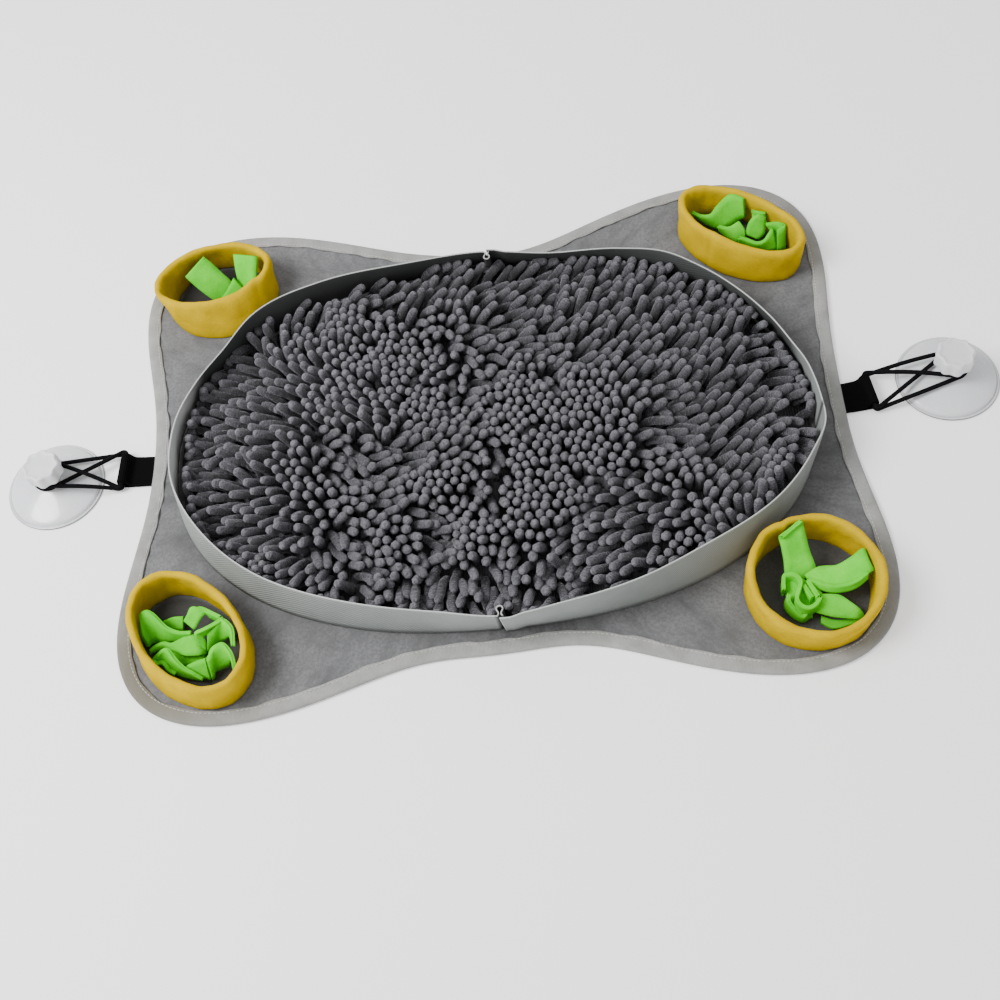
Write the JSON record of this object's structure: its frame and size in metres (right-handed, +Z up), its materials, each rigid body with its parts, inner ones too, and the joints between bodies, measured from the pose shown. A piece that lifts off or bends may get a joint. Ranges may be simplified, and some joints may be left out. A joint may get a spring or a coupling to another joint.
{
  "type": "snuffle mat",
  "caption": "Flat cloth mat with a walled oval of chenille pile, fleece pockets at its corners and a suction cup on an elastic at each end, for hiding treats.",
  "frame": {"origin": "middle of the mat's underside, on the floor, midway along the 550 mm length and the 435 mm width", "axes": "+X along the mat towards the right-hand suction cup, +Y towards the back edge, +Z up"},
  "size_m": [0.7518, 0.435, 0.0416],
  "materials": {
    "base_felt": "napped",
    "edge_tape": "woven",
    "wall_twill": "twill",
    "chenille": "chenille pile",
    "yellow_fleece": "fleece",
    "green_fleece": "fleece",
    "black_webbing": "webbing",
    "black_elastic": "braided",
    "cup_vinyl": "translucent vinyl",
    "knob_plastic": "moulded"
  },
  "bodies": {
    "mat": {"base_cloth": "base_felt", "edge_binding": "edge_tape", "wall_left": "wall_twill", "wall_right": "wall_twill", "pile": "chenille", "pocket_back_left": "yellow_fleece", "pocket_back_right": "yellow_fleece", "pocket_front_left": "yellow_fleece", "pocket_front_right": "yellow_fleece", "strip_back_left_a": "green_fleece", "strip_back_left_b": "green_fleece", "strip_back_right_a": "green_fleece", "strip_back_right_b": "green_fleece", "strip_back_right_c": "green_fleece", "strip_front_left_a": "green_fleece", "strip_front_left_b": "green_fleece", "strip_front_left_c": "green_fleece", "strip_front_right_a": "green_fleece", "strip_front_right_b": "green_fleece", "side_tab_left": "black_webbing", "side_tab_right": "black_webbing", "elastic_left": "black_elastic", "elastic_right": "black_elastic", "suction_cup_left": "cup_vinyl", "suction_cup_right": "cup_vinyl"},
    "knob_left": {"cup_knob_left": "knob_plastic"},
    "knob_right": {"cup_knob_right": "knob_plastic"}
  },
  "joints": [
    {"name": "knob_left_turn", "type": "hinge", "parent": "mat", "child": "knob_left", "pos_m": [-0.3352, -0.011, 0.0272], "axis": [0, 0, 1], "range_deg": [0, 540]},
    {"name": "knob_right_turn", "type": "hinge", "parent": "mat", "child": "knob_right", "pos_m": [0.3416, 0.0042, 0.0272], "axis": [0, 0, 1], "range_deg": [0, 540]}
  ]
}
